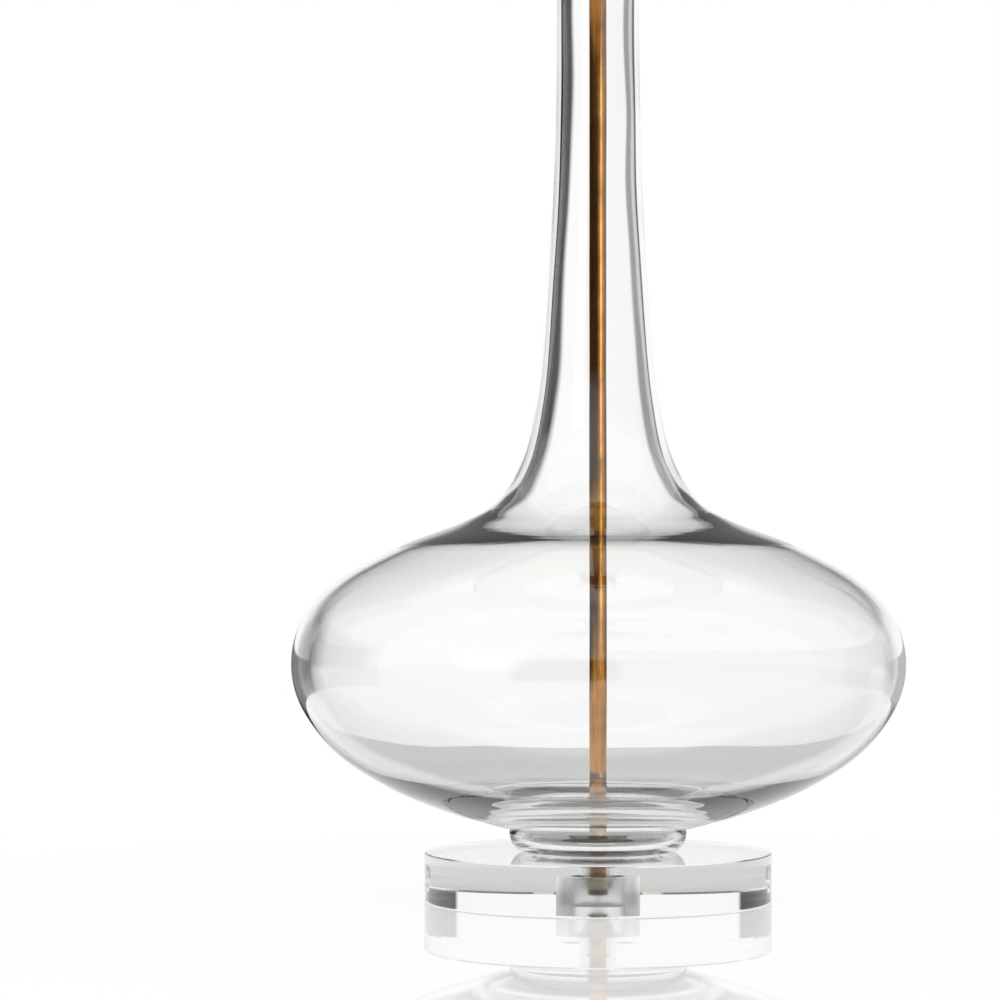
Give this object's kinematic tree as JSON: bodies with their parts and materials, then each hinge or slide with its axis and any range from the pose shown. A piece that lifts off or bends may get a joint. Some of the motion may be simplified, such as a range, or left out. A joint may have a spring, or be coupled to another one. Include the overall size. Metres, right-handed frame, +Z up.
{
  "type": "table lamp",
  "caption": "Table lamp: clear blown glass bottle with a slender neck on a round acrylic plinth, brass pipe down the middle, harp and drum shade.",
  "frame": {"origin": "on the table, on the lamp's axis, under the plinth", "axes": "+Z up the lamp's axis, -Y the front, +X right, along the harp"},
  "size_m": [0.4307, 0.4308, 0.8249],
  "materials": {
    "clear_acrylic": "polished clear acrylic",
    "clear_vinyl": "moulded clear vinyl",
    "zinc_plate": "dull yellow zinc plate on steel",
    "black_plastic": "moulded black plastic",
    "antique_brass": "antique brass, dark patina rubbed back to gold",
    "bright_brass": "bare brass",
    "blown_glass": "clear hand-blown glass",
    "olive_rubber": "dark olive rubber sheet",
    "black_rubber": "matt black rubber",
    "liner_board": "plain insulating board",
    "shade_linen": "woven off-white linen on a stiff backing",
    "shade_lining": "matt white styrene lining",
    "shade_tape": "linen edge tape"
  },
  "bodies": {
    "lamp": {"plinth": "clear_acrylic", "cord_grommet": "clear_vinyl", "pocket_washer": "zinc_plate", "hex_nut": "zinc_plate", "pipe_bushing": "black_plastic", "lamp_pipe": "antique_brass", "glass_body": "blown_glass", "foot_washer": "olive_rubber", "seat_collar": "antique_brass", "neck_gasket": "black_rubber", "neck_cap": "antique_brass", "cap_column": "antique_brass", "harp_saddle": "antique_brass", "harp_bow": "antique_brass", "harp_boss": "antique_brass", "holder_cap": "antique_brass", "holder_set_screw": "antique_brass", "holder_shell": "antique_brass", "holder_liner": "liner_board", "holder_interior": "black_plastic", "terminal_screws": "bright_brass", "screw_shell": "bright_brass", "center_contact": "bright_brass"},
    "left_sleeve": {"harp_sleeve_left": "antique_brass"},
    "right_sleeve": {"harp_sleeve_right": "antique_brass"},
    "key": {"switch_key": "black_plastic"},
    "shade": {"shade_spider": "antique_brass", "shade_top_ring": "antique_brass", "shade_bottom_ring": "antique_brass", "shade_cover": "shade_linen", "shade_lining": "shade_lining", "shade_bottom_trim": "shade_tape", "shade_top_trim": "shade_tape"},
    "finial": {"finial": "antique_brass"}
  },
  "joints": [
    {"name": "switch_turn", "type": "hinge", "parent": "lamp", "child": "key", "pos_m": [0, -0.03, 0.6021], "axis": [0, -1, 0], "continuous": true},
    {"name": "shade_swivel", "type": "hinge", "parent": "lamp", "child": "shade", "pos_m": [0, 0, 0.7], "axis": [0, 0, 1], "continuous": true},
    {"name": "finial_turn", "type": "hinge", "parent": "lamp", "child": "finial", "pos_m": [0, 0, 0.8], "axis": [0, 0, 1], "continuous": true},
    {"name": "left_sleeve_lift", "type": "slide", "parent": "lamp", "child": "left_sleeve", "axis": [0, 0, 1], "range_m": [0, 0.014]},
    {"name": "right_sleeve_lift", "type": "slide", "parent": "lamp", "child": "right_sleeve", "axis": [0, 0, 1], "range_m": [0, 0.014]}
  ]
}
